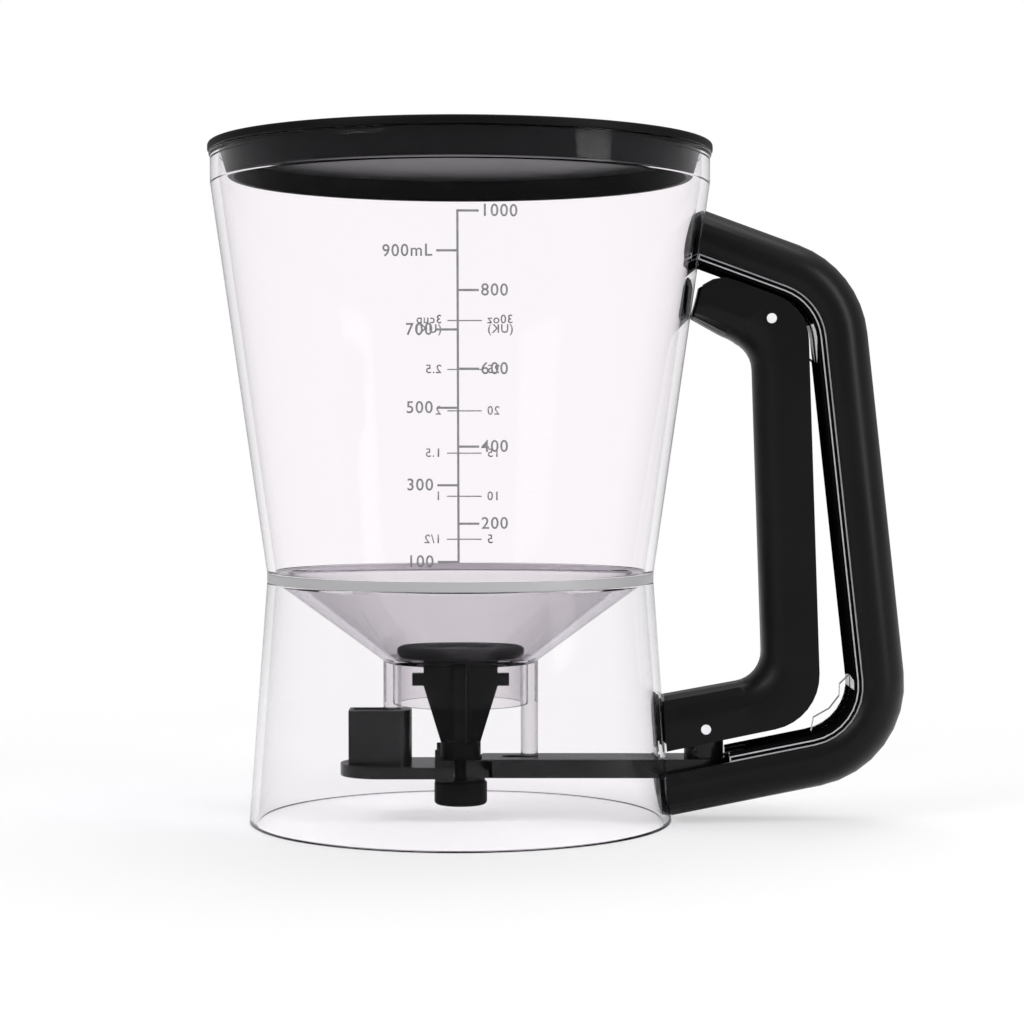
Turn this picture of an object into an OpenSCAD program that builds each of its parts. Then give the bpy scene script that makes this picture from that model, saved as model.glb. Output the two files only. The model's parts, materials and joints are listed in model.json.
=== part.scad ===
// Pancake batter dispenser: a clear tapered hopper on a clear stand, with a push-in lid,
// a squeeze trigger inside the handle, and a stopper that the trigger lifts off the outlet.
// Millimetres. The origin is on the pouring axis, on the surface the stand rests on.
// +X points to the handle, +Z is up, and the handle's mid-plane is y = 0.

/* [Jug] */
// Outside diameter of the hopper at its top band
rim_d = 131.2; // [124:0.4:138]
// Outside diameter at the waist, where hopper and stand meet
waist_d = 102; // [99:0.5:105]
// Outside diameter of the stand at its foot
base_d = 111.6; // [108:0.4:116]
// Height of the hopper's rim above the table
rim_z = 176; // [170:0.5:182]
// Height of the joint between stand and hopper
waist_z = 63.3; // [60:0.1:66]
// Thickness of the clear walls
wall = 2.2; // [1.6:0.1:2.8]
// Height of the straight band that holds the lid
band_h = 8; // [6:0.5:10]
// Height of the grey waist ring
ring_h = 2.5; // [2:0.1:3.5]

/* [Lid] */
// Thickness of the lid's flange
lid_t = 2.2; // [1.6:0.1:3]
// How far the lid's flange stands out past the hopper's band
lid_lip = 0.7; // [0.4:0.1:2]
// Depth of the lid's plug below the rim
plug_h = 6.9; // [5:0.1:9]
// Wall thickness of the plug
plug_wall = 1.8; // [1.2:0.1:2.4]
// How much the plug narrows towards its lower edge, on the radius
plug_taper = 2.2; // [0.5:0.1:3]

/* [Funnel] */
// Height of the underside of the funnel's flat floor
floor_z = 42; // [41:0.1:43]
// Thickness of the floor
floor_t = 2.1; // [1.8:0.1:2.6]
// Outside radius of the floor
floor_r = 19.8; // [19.4:0.1:21]
// Thickness of the sloping funnel wall
funnel_wall = 1.8; // [1.4:0.1:2.4]
// Diameter of the outlet
outlet_d = 23.2; // [22.6:0.1:24]
// Outside diameter of the guard tube under the floor
guard_d = 36; // [35:0.5:37]
// Length of the guard tube
guard_h = 11; // [9:0.5:12]
// Diameter of the two guide legs
leg_d = 4.6; // [4:0.1:5]
// Distance of each guide leg from the axis
leg_x = 18.2; // [18:0.1:18.6]

/* [Stopper] */
// Diameter of the sealing disc
disc_d = 33.6; // [32:0.2:35]
// Thickness of the sealing disc
disc_t = 3.1; // [2.6:0.1:3.6]
// Width of the stem's fins at the top
stem_d = 19.6; // [18:0.2:20.4]
// Diameter of the stem's foot
foot_d = 10.6; // [10:0.1:11]
// Span of the two lugs that stop the lift under the floor
lug_span = 25.6; // [25:0.1:26]
// Thickness of the fins
fin_t = 3; // [2:0.1:3.4]
// Diameter of the neck that passes through the slide bar
neck_d = 3.4; // [3:0.1:3.6]
// Diameter of the retaining knob
knob_d = 14; // [12.4:0.1:14.2]
// Height of the retaining knob
knob_h = 6; // [5:0.1:6.4]
// Lift of the stopper when the trigger is squeezed
lift = 3; // [2:0.1:3]

/* [Slide bar] */
// Travel of the slide bar when the trigger is squeezed
travel = 5; // [4:0.1:5]
// Width of the bar's arm
arm_w = 14; // [13:0.1:14.6]
// Height of the bar's arm
arm_h = 4.9; // [4.4:0.1:5.1]
// Height of the arm's underside above the table
arm_z = 11.9; // [11.7:0.1:12.2]
// Width of the yoke plate under the outlet
yoke_w = 22; // [20:0.5:24]
// Thickness of the yoke plate
yoke_t = 3.1; // [2.9:0.1:3.3]
// Outside diameter of the sleeve round the left guide leg
sleeve_d = 10.6; // [10:0.1:11]
// Height of the sleeve's top above the table
sleeve_top = 29.4; // [27:0.1:30]
// Distance of the spring box's outer end from the axis
box_x = 29.5; // [29:0.1:30]
// Width of the spring box
box_w = 8.6; // [8:0.1:9]
// Wall thickness of the spring box and sleeve
box_wall = 1; // [0.8:0.1:1.2]

/* [Handle] */
// Width of the grip across the hand
grip_w = 24; // [22:0.5:28]
// Depth of the grip from the clear liner to its outer face
grip_t = 12; // [11:0.2:13]
// Wall thickness of the grip shells
grip_wall = 2.2; // [1.8:0.1:2.6]
// Width of the clear liner inside the grip
liner_w = 20; // [18:0.5:21]
// Thickness of the clear liner
liner_t = 2.3; // [1.8:0.1:2.6]
// Thickness of the liner's web inside the grip
web_t = 3; // [2.4:0.1:3.6]
// Depth of the web inside the grip
web_h = 7; // [5:0.2:7.6]

/* [Trigger] */
// Width of the trigger across the fingers
trigger_w = 18; // [17:0.2:19]
// Wall thickness of the hollow trigger
trigger_wall = 1.8; // [1.5:0.1:2]
// Diameter of the trigger pin and of the link pin
pin_d = 2.6; // [2.2:0.1:3]
// Distance of the trigger pin from the pouring axis
pivot_x = 81.3; // [80.8:0.1:81.8]
// Drop from the hopper's rim to the trigger pin
pivot_drop = 43.6; // [43.2:0.1:44]
// Distance of the link pin from the pouring axis
link_x = 64.4; // [64:0.1:64.8]
// Height of the link pin
link_z = 24.9; // [24.6:0.1:25.2]
// Diameter of the link post
post_d = 10.4; // [10:0.1:10.8]

/* [Hidden] */
$fn = 96;
running = 0.05;    // radial clearance of a pin in its hole
sliding = 0.3;     // clearance of a part that slides
eps = 0.01;

pivot_z = rim_z - pivot_drop;

// Walls of the jug
rim_r = rim_d / 2;
waist_r = waist_d / 2;
base_r = base_d / 2;
band_z = rim_z - band_h;
hopper_z = waist_z + ring_h;
ring_r = waist_r - 1.2;
lip_z = rim_z - 1.4;

// Stopper and slide bar
floor_top = floor_z + floor_t;
lug_h = 3.2;
lug_top = floor_z - lift - 0.1;
foot_z = arm_z + arm_h - 0.2;
foot_h = 4.4;
arm_top = arm_z + arm_h;
yoke_z = arm_z + 0.2;
yoke_top = yoke_z + yoke_t;
knob_top = yoke_top - 1.2 - lift - 0.2;
pocket_r = knob_d / 2 + 0.4;
neck_gap = neck_d / 2 + sliding;
notch_x = 5.3;
arm_start = foot_d / 2 + sliding;
arm_end = link_x + post_d / 2 + 0.6;
yoke_r = yoke_w / 2;
yoke_end = box_x + 2.4;
leg_gap = leg_d / 2 + 0.25;

// Spring between the guide leg and the end wall of the spring box
spring_wire = 0.5;
spring_d = 4.2;
spring_turns = 4.5;
spring_z = yoke_top + 7;
spring_x0 = -box_x + box_wall;
spring_x1 = -leg_x - leg_d / 2;

// Path of the line where the grip meets its clear liner: [x, z] corners and their radii
grip_line = [[50, rim_z - 22.4], [94.3, rim_z - 38.6], [106.9, 23.7], [46, 11.5]];
grip_r = [16, 15.7];
// Outer face of the trigger, and its finger side
trigger_back = [[50, rim_z - 25.7], [90.7, rim_z - 40.6], [94.5, 27.4], [46, 17.4]];
trigger_back_r = [13, 14.5];
trigger_front = [[50, rim_z - 48.5], [76.9, rim_z - 49.2], [80, 37.9], [46, 31.7]];
trigger_front_r = [8, 8];
trigger_gap_top = 1.5;
trigger_gap_low = 0.5;
channel_end = arm_end + travel + sliding;
liner_start = arm_end + 0.3;

// Screws that hold the grip's halves: places on the web, as [corner index, share of the run]
screw_at = [[0, 0.62], [1, 0.3], [1, 0.75], [2, 0.35]];
screw_d = 2.2;
screw_head_d = 4.4;
screw_head_h = 1.6;

black = "#1c1c1e";
clear = [0.85, 0.9, 0.93, 0.35];

// ---- Flat curves and lofts -------------------------------------------------------------

function unit(v) = v / norm(v);

// Arc that rounds corner c between a and b with radius r, as n + 1 points
function corner_arc(a, c, b, r, n) =
    let (
        u = unit(a - c),
        v = unit(b - c),
        half = acos(u * v) / 2,
        centre = c + unit(u + v) * r / sin(half),
        p = c + u * r / tan(half) - centre,
        q = c + v * r / tan(half) - centre,
        sweep = 180 - 2 * half,
        way = p[0] * q[1] - p[1] * q[0] > 0 ? 1 : -1
    )
    [for (i = [0:n])
        let (t = way * sweep * i / n)
        centre + [p[0] * cos(t) - p[1] * sin(t), p[0] * sin(t) + p[1] * cos(t)]];

// An open line of four corners, its two middle corners rounded
function rounded(line, radii, n = 8) = concat(
    [line[0]],
    corner_arc(line[0], line[1], line[2], radii[0], n),
    corner_arc(line[1], line[2], line[3], radii[1], n),
    [line[3]]
);

// The same line moved sideways by d, towards the outside of the loop
function moved(line, d) =
    let (
        k = len(line) - 1,
        normals = [for (i = [0:k - 1])
            let (t = unit(line[i + 1] - line[i])) [-t[1], t[0]]]
    )
    [for (i = [0:k])
        i == 0 ? line[0] + normals[0] * d
        : i == k ? line[k] + normals[k - 1] * d
        : let (m = unit(normals[i - 1] + normals[i]))
          line[i] + m * d / (m * normals[i])];

// Solid between two lines of equal length. A section point is [share of the way from
// line a to line b, y].
module loft(a, b, section) {
    m = len(section);
    k = len(a);
    points = [for (i = [0:k - 1]) for (s = section)
        let (p = a[i] + (b[i] - a[i]) * s[0]) [p[0], s[1], p[1]]];
    sides = [for (i = [0:k - 2]) for (j = [0:m - 1])
        let (j2 = (j + 1) % m)
        each [[i * m + j, (i + 1) * m + j, (i + 1) * m + j2],
              [i * m + j, (i + 1) * m + j2, i * m + j2]]];
    first = [for (j = [0:m - 1]) j];
    last = [for (j = [m - 1:-1:0]) (k - 1) * m + j];
    polyhedron(points, concat([first], sides, [last]), convexity = 6);
}

// A bar along Y through the handle at [x, z]
module cross_pin(at, d, y0, y1) {
    translate([at[0], y0, at[1]]) rotate([-90, 0, 0]) cylinder(h = y1 - y0, d = d);
}

// A plate of the handle's mid-plane, drawn in [x, z] and t thick
module mid_plate(t) {
    translate([0, t / 2, 0]) rotate([90, 0, 0]) linear_extrude(t) children();
}

// Outside of hopper and stand, grown by g, as one solid to cut the handle's ends with
module jug_outside(g) {
    rotate_extrude() polygon([
        [0, -5], [base_r + g, -5], [base_r + g, 0], [waist_r + g, waist_z],
        [waist_r + g, hopper_z], [rim_r + g, band_z], [rim_r + g, rim_z], [0, rim_z]
    ]);
}

// ---- Clear jug ---------------------------------------------------------------------------

module hopper() {
    color(clear) rotate_extrude() polygon([
        [waist_r, hopper_z], [rim_r, band_z], [rim_r, lip_z],
        [rim_r + lid_lip / 2, lip_z + 0.4], [rim_r + lid_lip / 2, rim_z],
        [rim_r - wall, rim_z], [rim_r - wall, band_z + 0.4],
        [rim_r - wall - 0.3, band_z], [waist_r - wall, hopper_z]
    ]);
}

module base_skirt() {
    color(clear) difference() {
        rotate_extrude() polygon([
            [base_r, 0], [waist_r, waist_z], [waist_r - wall, waist_z], [base_r - wall, 0]
        ]);
        translate([0, -arm_w / 2 - sliding, arm_z - sliding])
            cube([base_r + 5, arm_w + 2 * sliding, arm_h + 2 * sliding]);
    }
}

module waist_ring() {
    color("#a9aaab") translate([0, 0, waist_z]) difference() {
        cylinder(h = ring_h, r = waist_r);
        translate([0, 0, -eps]) cylinder(h = ring_h + 2 * eps, r = ring_r);
    }
}

module funnel() {
    cone_r = waist_r - wall - 1.5;
    color(clear) difference() {
        union() {
            rotate_extrude() polygon([
                [0, floor_z], [floor_r, floor_z], [cone_r, waist_z - 1], [cone_r, waist_z],
                [ring_r - running, waist_z], [ring_r - running, hopper_z],
                [cone_r - funnel_wall, hopper_z], [floor_r - funnel_wall / 2, floor_top],
                [0, floor_top]
            ]);
            translate([0, 0, floor_z - guard_h]) difference() {
                cylinder(h = guard_h, d = guard_d);
                translate([0, 0, -eps]) cylinder(h = guard_h + 1, d = guard_d - 3);
            }
            leg(-leg_x, yoke_top + 1);
            leg(leg_x, arm_z + 0.6);
        }
        translate([0, 0, floor_z - 1]) cylinder(h = floor_t + 2, d = outlet_d);
        // the lugs pass here when the stopper is put in a quarter turn round
        translate([-fin_t / 2 - 0.5, -lug_span / 2 - 0.4, floor_z - 1])
            cube([fin_t + 1, lug_span + 0.8, floor_t + 2]);
    }
}

module leg(x, z0) {
    translate([x, 0, z0]) cylinder(h = floor_z - z0 + 0.5, d = leg_d);
}

// ---- Lid -----------------------------------------------------------------------------------

module lid() {
    plug_top = rim_r - wall - 0.2;
    plug_low = plug_top - plug_taper;
    color(black) rotate_extrude() polygon([
        [0, rim_z - 1], [plug_top - plug_wall, rim_z - 1],
        [plug_low - plug_wall, rim_z - plug_h], [plug_low, rim_z - plug_h],
        [plug_top, rim_z], [rim_r + lid_lip, rim_z],
        [rim_r + lid_lip, rim_z + lid_t - 0.5], [rim_r + lid_lip - 0.5, rim_z + lid_t],
        [plug_top - 3.4, rim_z + lid_t], [plug_top - 4.4, rim_z + lid_t - 1.2],
        [0, rim_z + lid_t - 1.2]
    ]);
}

// ---- Stopper ---------------------------------------------------------------------------------

module stopper_stem() {
    foot_r = foot_d / 2;
    stem_r = stem_d / 2;
    color(black) {
        for (turn = [0, 90]) rotate(turn) mid_plate(fin_t) polygon([
            [-stem_r, floor_top], [-stem_r, lug_top - lug_h], [-foot_r, foot_z + foot_h],
            [foot_r, foot_z + foot_h], [stem_r, lug_top - lug_h], [stem_r, floor_top]
        ]);
        translate([-lug_span / 2, -fin_t / 2, lug_top - lug_h])
            cube([lug_span, fin_t, lug_h]);
        translate([0, 0, foot_z]) cylinder(h = foot_h, r = foot_r);
        translate([0, 0, knob_top - 4.5]) cylinder(h = foot_z - knob_top + 5, d = neck_d);
        translate([0, 0, foot_z + 1]) cylinder(h = floor_top - foot_z - 1, d = 6);
        translate([0, 0, floor_top - 1]) cylinder(h = disc_t - 0.4, d = 6);
        translate([0, 0, floor_top + disc_t - 1.6]) cylinder(h = 0.9, d = 10.4);
    }
}

module stopper_disc() {
    r = disc_d / 2;
    color(black) translate([0, 0, floor_top]) rotate_extrude() polygon([
        [3 + running, 0], [r - 0.8, 0], [r, 0.9], [r, disc_t - 0.7], [r - 1.2, disc_t],
        [9.4, disc_t], [8.4, disc_t - 1.65], [3 + running, disc_t - 1.65]
    ]);
}

module stem_knob() {
    r = knob_d / 2;
    color(black) translate([0, 0, knob_top - knob_h]) difference() {
        rotate_extrude() polygon([
            [0, 0], [r - 0.6, 0], [r, 0.6], [r, knob_h - 0.7], [r - 1, knob_h], [0, knob_h]
        ]);
        translate([0, 0, knob_h - 4.6]) cylinder(h = 5, d = neck_d + 2 * running);
    }
}

// ---- Slide bar ---------------------------------------------------------------------------------

module slide_bar() {
    color(black) difference() {
        union() {
            translate([0, 0, yoke_z]) linear_extrude(yoke_t) {
                translate([yoke_r - yoke_end, 0]) circle(r = yoke_r);
                translate([yoke_r - yoke_end, -yoke_r])
                    square([yoke_end - yoke_r + notch_x + 1.2, yoke_w]);
            }
            translate([0, 0, arm_z]) linear_extrude(arm_h) {
                translate([arm_start, -arm_w / 2])
                    square([arm_end - arm_w / 2 - arm_start, arm_w]);
                translate([arm_end - arm_w / 2, 0]) circle(d = arm_w);
            }
            spring_box();
            for (side = [-1, 1]) lift_ramp(side);
        }
        box_hollow();
        neck_slot();
        // room for the knob when the stopper is up
        translate([-travel - pocket_r, -pocket_r, arm_z - 1])
            cube([travel + 2 * pocket_r, 2 * pocket_r, yoke_top - 1.2 - arm_z + 1]);
        // long hole that slides along the right guide leg
        translate([leg_x, 0, arm_z - 1]) linear_extrude(arm_h + 2) {
            circle(r = leg_gap);
            translate([-travel, 0]) circle(r = leg_gap);
            translate([-travel, -leg_gap]) square([travel, 2 * leg_gap]);
        }
        translate([link_x, 0, arm_z + 0.8]) cylinder(h = arm_h, d = 6);
    }
}

module spring_box() {
    translate([0, 0, yoke_top - eps]) linear_extrude(sleeve_top - yoke_top) {
        translate([-leg_x, 0]) circle(d = sleeve_d);
        translate([-box_x, -box_w / 2]) square([box_x - leg_x, box_w]);
    }
}

module box_hollow() {
    translate([0, 0, yoke_top]) linear_extrude(sleeve_top) {
        translate([-leg_x, 0]) circle(r = leg_gap);
        translate([-box_x + box_wall, -leg_gap])
            square([box_x - box_wall - leg_x, 2 * leg_gap]);
    }
}

// One of the two wedges that push the stopper's foot up as the bar is pulled
module lift_ramp(side) {
    rail_y = neck_gap + 0.3;
    edge = sqrt(pow(foot_d / 2, 2) - pow(rail_y, 2));
    low = foot_z - 0.1;
    steep = lift / travel;
    translate([0, side > 0 ? rail_y + 2.2 : -rail_y, 0]) rotate([90, 0, 0])
        linear_extrude(2.2) polygon([
            [-edge - travel - 0.8, yoke_top - 1], [-edge - travel - 0.8, low + lift],
            [-edge - travel, low + lift], [-edge + (low - yoke_top) / steep, yoke_top],
            [-edge + (low - yoke_top) / steep, yoke_top - 1]
        ]);
}

// Slot for the stopper's neck, open to the front where the neck is put in
module neck_slot() {
    translate([0, 0, arm_z - 1]) linear_extrude(arm_h + 2) {
        translate([-travel - neck_gap, -neck_gap]) square([travel + 2 * neck_gap, 2 * neck_gap]);
        translate([-neck_gap, -yoke_w]) square([notch_x + neck_gap, yoke_w + neck_gap]);
    }
}

module link_post() {
    color(black) difference() {
        union() {
            translate([link_x, 0, arm_top]) cylinder(h = link_z + 3.4 - arm_top, d = post_d);
            translate([link_x, 0, arm_z + 0.9])
                cylinder(h = arm_top - arm_z, d = 6 - 2 * running);
        }
        // upright slot: the pin comes down a little as the trigger turns
        for (dz = [0, -1]) cross_pin([link_x, link_z + dz], pin_d + 0.16, -8, 8);
        translate([link_x - pin_d / 2 - 0.08, -8, link_z - 1]) cube([pin_d + 0.16, 16, 1]);
    }
}

// Coil along X from the box's end wall to the guide leg
module return_spring() {
    r = (spring_d - spring_wire) / 2;
    x0 = spring_x0 + spring_wire / 2 + 0.05;
    x1 = spring_x1 - spring_wire / 2 - 0.05;
    per_turn = 10;
    steps = round(spring_turns * per_turn);
    ring = 6;
    color("#b9bcc0") polyhedron(
        [for (i = [0:steps]) for (j = [0:ring - 1])
            let (
                a = 360 * i / per_turn,
                b = 360 * j / ring,
                q = r + spring_wire / 2 * cos(b)
            )
            [x0 + (x1 - x0) * i / steps + spring_wire / 2 * sin(b), q * cos(a),
             spring_z + q * sin(a)]],
        concat(
            [[for (j = [ring - 1:-1:0]) j]],
            [for (i = [0:steps - 1]) for (j = [0:ring - 1])
                let (j2 = (j + 1) % ring)
                each [[i * ring + j, i * ring + j2, (i + 1) * ring + j2],
                      [i * ring + j, (i + 1) * ring + j2, (i + 1) * ring + j]]],
            [[for (j = [0:ring - 1]) steps * ring + j]]
        )
    );
}

// ---- Handle --------------------------------------------------------------------------------------

grip_in = rounded(grip_line, grip_r);
grip_out = rounded(moved(grip_line, grip_t), [grip_r[0] + grip_t, grip_r[1] + grip_t]);
liner_in = rounded(moved(grip_line, -liner_t), [grip_r[0] - liner_t, grip_r[1] - liner_t]);

// A screw's place: along a straight run of the grip's line, in the middle of the web
function screw_place(s) =
    let (
        a = grip_line[s[0]],
        b = grip_line[s[0] + 1],
        t = unit(b - a)
    )
    a + (b - a) * s[1] + [-t[1], t[0]] * web_h / 2;

module handle_liner() {
    h = liner_w / 2;
    w = web_t / 2;
    low = liner_t / (liner_t + grip_t);
    deep = (liner_t + web_h) / (liner_t + grip_t);
    color(clear) difference() {
        union() {
            loft(liner_in, grip_out, [
                [0, h - 0.8], [low * 0.35, h], [low, h], [low, w], [deep, w],
                [deep, -w], [low, -w], [low, -h], [low * 0.35, -h], [0, 0.8 - h]
            ]);
            pivot_lug();
            corner_web();
        }
        jug_outside(0.1);
        bar_channel();
        // the liner itself starts past the slide bar's end
        for (y0 = [-20, arm_w / 2]) translate([40, y0, 0])
            cube([liner_start - 40, 20 - arm_w / 2, 40]);
        cross_pin([pivot_x, pivot_z], pin_d, -10, 10);
        for (s = screw_at) cross_pin(screw_place(s), screw_d + 0.4, -10, 10);
    }
}

// Clear lug in the upper corner, which carries the trigger pin
module pivot_lug() {
    mid_plate(6) {
        translate([pivot_x, pivot_z]) circle(r = 4.2);
        polygon([
            [pivot_x - 2.4, pivot_z + 3.4], [pivot_x + 2, pivot_z + 8.6],
            [94, pivot_z + 2], [97, pivot_z - 13], [95, pivot_z - 12.6], [91, pivot_z - 9.6],
            [pivot_x + 2.6, pivot_z - 3.3]
        ]);
    }
}

// Thin clear web that stiffens the lower corner
module corner_web() {
    mid_plate(2.6) polygon([
        [104, 39.6], [100.4, 36.1], [100.3, 33], [97.7, 29.6], [93.5, 27.2], [92.7, 22.5],
        [98, 22.5], [104.2, 27]
    ]);
}

// Room for the slide bar's end and its post in the lower arm of the handle
module bar_channel() {
    half = arm_w / 2 + sliding;
    translate([40, -half, arm_z - sliding]) cube([channel_end - 40, 2 * half, 12]);
}

// Half section of the grip: outside, then inside, in shares of the grip's depth
grip_arc = 6;
function grip_side(w, low, high) = [for (i = [0:grip_arc])
    let (a = 90 * i / grip_arc)
    [low + (high - low) * sin(a), w * cos(a)]];
function reversed(list) = [for (i = [len(list) - 1:-1:0]) list[i]];

module grip_half(side) {
    outer = concat([[0, grip_w / 2 - 1.4], [0.12, grip_w / 2 - 0.3]],
                   grip_side(grip_w / 2, 0.3, 1));
    inner = concat([[0, grip_w / 2 - grip_wall - 1]],
                   grip_side(grip_w / 2 - grip_wall, 0.3, 1 - grip_wall / grip_t));
    section = side > 0 ? concat(outer, reversed(inner))
                       : [for (p = concat(inner, reversed(outer))) [p[0], -p[1]]];
    color(black) difference() {
        union() {
            loft(grip_in, grip_out, section);
            for (s = screw_at) screw_boss(s, side);
        }
        jug_outside(0.15);
        bar_channel();
        for (s = screw_at) {
            cross_pin(screw_place(s), screw_d + (side > 0 ? 0.3 : 0), -grip_w / 2 + 3, 20);
            if (side > 0)
                cross_pin(screw_place(s), screw_head_d + 0.3,
                          grip_w / 2 - grip_wall - 0.6, 20);
        }
    }
}

// Boss inside a grip shell, from its wall to the web
module screw_boss(s, side) {
    y0 = web_t / 2 + 0.1;
    y1 = grip_w / 2 - 1.2;
    if (side > 0) cross_pin(screw_place(s), 6, y0, y1);
    else cross_pin(screw_place(s), 6, -y1, -y0);
}

module grip_screws() {
    seat = grip_w / 2 - grip_wall - 0.6;
    color("#c4c6c9") for (s = screw_at) {
        cross_pin(screw_place(s), screw_d - 0.1, -grip_w / 2 + 3.4, seat + 0.1);
        cross_pin(screw_place(s), screw_head_d, seat, seat + screw_head_h);
    }
}

// ---- Trigger ---------------------------------------------------------------------------------------

module trigger() {
    h = trigger_w / 2;
    c = h - trigger_wall;
    color(black) difference() {
        loft(rounded(trigger_back, trigger_back_r), rounded(trigger_front, trigger_front_r), [
            [0, c], [0.56, c], [0.76, c - 1], [0.86, c - 3.4],
            [0.86, 3.4 - c], [0.76, 1 - c], [0.56, -c], [0, -c],
            [0, -h], [0.55, -h], [0.78, 0.9 - h], [0.93, 3 - h], [1, 5.6 - h],
            [1, h - 5.6], [0.93, h - 3], [0.78, h - 0.9], [0.55, h], [0, h]
        ]);
        difference() {
            jug_outside(trigger_gap_top);
            translate([-80, -80, -5]) cube([160, 160, 65]);
        }
        jug_outside(trigger_gap_low);
        for (p = [[pivot_x, pivot_z], [link_x, link_z]])
            cross_pin(p, pin_d + 2 * running, -20, 20);
    }
}

module trigger_pin() {
    color("#d5d7d9") cross_pin([pivot_x, pivot_z], pin_d, -trigger_w / 2, trigger_w / 2);
}

module link_pin() {
    color("#d5d7d9") cross_pin([link_x, link_z], pin_d, -trigger_w / 2, trigger_w / 2);
}

hopper();
funnel();
waist_ring();
base_skirt();
handle_liner();
grip_half(-1);  // grip_front
grip_half(1);  // grip_rear
grip_screws();
trigger_pin();
lid();
trigger();
link_pin();
slide_bar();
link_post();
return_spring();
stopper_stem();
stopper_disc();
stem_knob();
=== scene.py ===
import bpy
import json
import math
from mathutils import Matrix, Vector


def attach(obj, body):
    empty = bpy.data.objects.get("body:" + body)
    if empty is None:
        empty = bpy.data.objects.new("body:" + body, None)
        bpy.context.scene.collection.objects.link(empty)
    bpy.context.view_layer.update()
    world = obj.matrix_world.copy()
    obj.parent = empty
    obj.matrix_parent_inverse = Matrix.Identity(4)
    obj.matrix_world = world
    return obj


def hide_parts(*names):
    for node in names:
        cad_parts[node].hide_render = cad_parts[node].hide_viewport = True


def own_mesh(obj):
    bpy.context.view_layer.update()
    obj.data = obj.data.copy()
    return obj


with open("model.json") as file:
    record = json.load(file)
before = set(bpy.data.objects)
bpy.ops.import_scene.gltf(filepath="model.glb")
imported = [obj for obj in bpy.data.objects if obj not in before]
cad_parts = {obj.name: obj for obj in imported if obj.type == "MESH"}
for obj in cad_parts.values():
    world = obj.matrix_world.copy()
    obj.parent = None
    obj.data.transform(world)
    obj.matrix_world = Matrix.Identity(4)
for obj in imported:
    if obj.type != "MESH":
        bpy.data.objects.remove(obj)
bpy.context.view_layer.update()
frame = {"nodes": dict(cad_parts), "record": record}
mm = 0.001
print("frame loaded")


# ---- shader maths: a socket that understands + * and friends
class Wire:
    def __init__(self, board, socket):
        self.board = board
        self.socket = socket

    def calc(self, operation, a, b):
        return self.board.node("ShaderNodeMath", {"operation": operation}, {0: a, 1: b})

    def __add__(self, other):
        return self.calc("ADD", self, other)

    def __mul__(self, other):
        return self.calc("MULTIPLY", self, other)

    def __pow__(self, other):
        return self.calc("POWER", self, other)

    def larger(self, other):
        return self.calc("MAXIMUM", self, other)

    def below(self, other):
        return self.calc("LESS_THAN", self, other)


class Board:
    def __init__(self, tree):
        self.tree = tree
        self.tree.nodes.clear()

    def node(self, kind, settings=None, values=None, output=0):
        made = self.tree.nodes.new(kind)
        for key, value in (settings or {}).items():
            setattr(made, key, value)
        for key, value in (values or {}).items():
            if isinstance(value, Wire):
                self.tree.links.new(value.socket, made.inputs[key])
            else:
                made.inputs[key].default_value = value
        return Wire(self, made.outputs[output])


class Finish(Board):
    def __init__(self, name, color, **fixed):
        self.material = bpy.data.materials.new(name)
        self.material.use_nodes = True
        self.material.diffuse_color = (*color, 1)
        super().__init__(self.material.node_tree)
        self.out = self.tree.nodes.new("ShaderNodeOutputMaterial")
        self.surface = self.tree.nodes.new("ShaderNodeBsdfPrincipled")
        self.tree.links.new(self.surface.outputs[0], self.out.inputs[0])
        self.surface.inputs["Base Color"].default_value = (*color, 1)
        for key, value in fixed.items():
            self.surface.inputs[key.replace("_", " ")].default_value = value

    def drive(self, **wires):
        for key, wire in wires.items():
            self.tree.links.new(wire.socket, self.surface.inputs[key.replace("_", " ")])

    def place(self):
        return self.node("ShaderNodeTexCoord", output="Object")

    def noise(self, scale, detail, stretch=None):
        at = self.place()
        if stretch:
            at = self.node("ShaderNodeMapping", {}, {"Vector": at, "Scale": stretch})
        return self.node("ShaderNodeTexNoise", {}, {"Vector": at, "Scale": scale, "Detail": detail})

    def spread(self, wire, low, high, start=0.0, end=1.0):
        return self.node("ShaderNodeMapRange", {}, {
            "Value": wire, "From Min": start, "From Max": end, "To Min": low, "To Max": high})

    def tint(self, wire, first, second):
        return self.node("ShaderNodeMix", {"data_type": "RGBA"},
                         {0: wire, 6: (*first, 1), 7: (*second, 1)}, output=2)

    def bump(self, wire, strength, distance):
        return self.node("ShaderNodeBump", {}, {
            "Height": wire, "Strength": strength, "Distance": distance})

    # a share of the light meets another shader in place of the surface
    def giveWay(self, share, shader):
        mixed = self.node("ShaderNodeMixShader", {}, {
            0: share, 1: Wire(self, self.surface.outputs[0]), 2: shader})
        self.tree.links.new(mixed.socket, self.out.inputs[0])


# ---- finishes: noise scales a metre, and the depth of each relief in metres
grains = {
    "clear": {"flow": 9, "stretch": (1, 1, 2.2), "speckle": 160, "depth": 0.0015},
    "black": {"dust": 420, "dustShare": 0.35, "depth": 0.00012},
    "steel": {"lines": 300, "strength": 0.12, "depth": 0.00005},
    "ink": {"patches": 700, "rough": (0.45, 0.65)}}


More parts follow.
